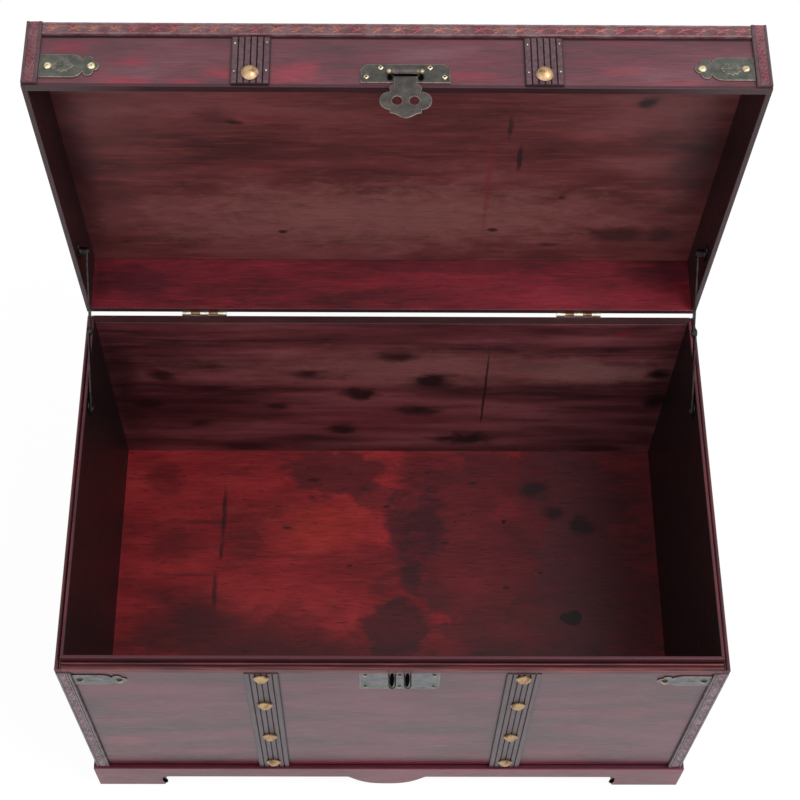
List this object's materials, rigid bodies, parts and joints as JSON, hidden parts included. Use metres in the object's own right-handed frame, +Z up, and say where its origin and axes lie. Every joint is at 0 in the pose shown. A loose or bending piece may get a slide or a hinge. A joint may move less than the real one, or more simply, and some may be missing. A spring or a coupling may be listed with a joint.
{
  "type": "storage chest",
  "caption": "Boarded wooden storage chest on a bracket-foot plinth, with a box lid held open by folding stays, embossed trim, reeded bands and a hasp that closes over staples",
  "frame": {"origin": "on the ground, in the middle of the bounding box of the chest with its lid open", "axes": "+Z up, -Y out of the front of the chest, +X to the right of someone who faces the front"},
  "size_m": [0.657, 0.4823, 0.7755],
  "materials": {
    "mahogany": "stained and varnished, satin",
    "worn_mahogany": "stained, rubbed and faded",
    "deep_red_mahogany": "stained deep red, satin",
    "embossed_mahogany": "embossed and stained",
    "aged_brass": "dark patina with rubbed edges",
    "pale_brass": "rubbed bright",
    "dark_steel": "blackened"
  },
  "bodies": {
    "chest": {"front_panel": "worn_mahogany", "back_panel": "mahogany", "left_side_panel": "mahogany", "right_side_panel": "mahogany", "floor_panel": "deep_red_mahogany", "plinth_front": "worn_mahogany", "plinth_back": "mahogany", "plinth_left": "mahogany", "plinth_right": "mahogany", "rim_front": "mahogany", "rim_left": "mahogany", "rim_right": "mahogany", "band_left": "worn_mahogany", "band_right": "worn_mahogany", "corner_strip_left": "embossed_mahogany", "corner_strip_right": "embossed_mahogany", "dome_nail_left_1": "pale_brass", "dome_nail_left_2": "pale_brass", "dome_nail_left_3": "pale_brass", "dome_nail_left_4": "pale_brass", "dome_nail_right_1": "pale_brass", "dome_nail_right_2": "pale_brass", "dome_nail_right_3": "pale_brass", "dome_nail_right_4": "pale_brass", "corner_strap_left": "aged_brass", "corner_strap_right": "aged_brass", "striker_plate": "aged_brass", "staple_left": "aged_brass", "staple_right": "aged_brass", "hinge_body_leaf_left": "pale_brass", "hinge_body_leaf_right": "pale_brass", "hinge_pin_left": "pale_brass", "hinge_pin_right": "pale_brass", "stay_body_bracket_left": "dark_steel", "stay_body_bracket_right": "dark_steel"},
    "lid": {"lid_top": "mahogany", "lid_front": "mahogany", "lid_back": "mahogany", "lid_side_left": "mahogany", "lid_side_right": "mahogany", "lid_top_strip": "embossed_mahogany", "lid_corner_strip_left": "embossed_mahogany", "lid_corner_strip_right": "embossed_mahogany", "lid_band_left": "worn_mahogany", "lid_band_right": "worn_mahogany", "lid_dome_nail_left": "pale_brass", "lid_dome_nail_right": "pale_brass", "lid_strap_left": "aged_brass", "lid_strap_right": "aged_brass", "hasp_plate": "aged_brass", "hasp_pin": "aged_brass", "hinge_lid_leaf_left": "pale_brass", "hinge_lid_leaf_right": "pale_brass", "stay_lid_bracket_left": "dark_steel", "stay_lid_bracket_right": "dark_steel"},
    "hasp": {"hasp_flap": "aged_brass"},
    "left_lower_link": {"stay_lower_link_left": "dark_steel"},
    "right_lower_link": {"stay_lower_link_right": "dark_steel"},
    "left_upper_link": {"stay_upper_link_left": "dark_steel"},
    "right_upper_link": {"stay_upper_link_right": "dark_steel"}
  },
  "joints": [
    {"name": "lid_hinge", "type": "hinge", "parent": "chest", "child": "lid", "pos_m": [0, 0.17378, 0.3659], "axis": [1, 0, 0], "range_deg": [0, 87.2]},
    {"name": "hasp_pivot", "type": "hinge", "parent": "lid", "child": "hasp", "pos_m": [0.007, 0.16788, 0.77114], "axis": [-1, 0, 0], "range_deg": [0, 170]},
    {"name": "left_stay_foot", "type": "hinge", "parent": "chest", "child": "left_lower_link", "pos_m": [-0.31285, 0.06193, 0.356], "axis": [1, 0, 0], "range_deg": [-53.5, 0]},
    {"name": "right_stay_foot", "type": "hinge", "parent": "chest", "child": "right_lower_link", "pos_m": [0.31285, 0.06193, 0.356], "axis": [1, 0, 0], "range_deg": [-53.5, 0]},
    {"name": "left_stay_head", "type": "hinge", "parent": "lid", "child": "left_upper_link", "pos_m": [-0.31105, 0.18301, 0.47003], "axis": [1, 0, 0], "range_deg": [0, 21.9]},
    {"name": "right_stay_head", "type": "hinge", "parent": "lid", "child": "right_upper_link", "pos_m": [0.31105, 0.18301, 0.47003], "axis": [1, 0, 0], "range_deg": [0, 21.9]}
  ],
  "couplings": [
    {"joint": "left_stay_foot", "follows": "lid_hinge", "ratio": -0.61198},
    {"joint": "right_stay_foot", "follows": "lid_hinge", "ratio": -0.61198},
    {"joint": "left_stay_head", "follows": "lid_hinge", "ratio": 0.24929},
    {"joint": "right_stay_head", "follows": "lid_hinge", "ratio": 0.24929}
  ]
}
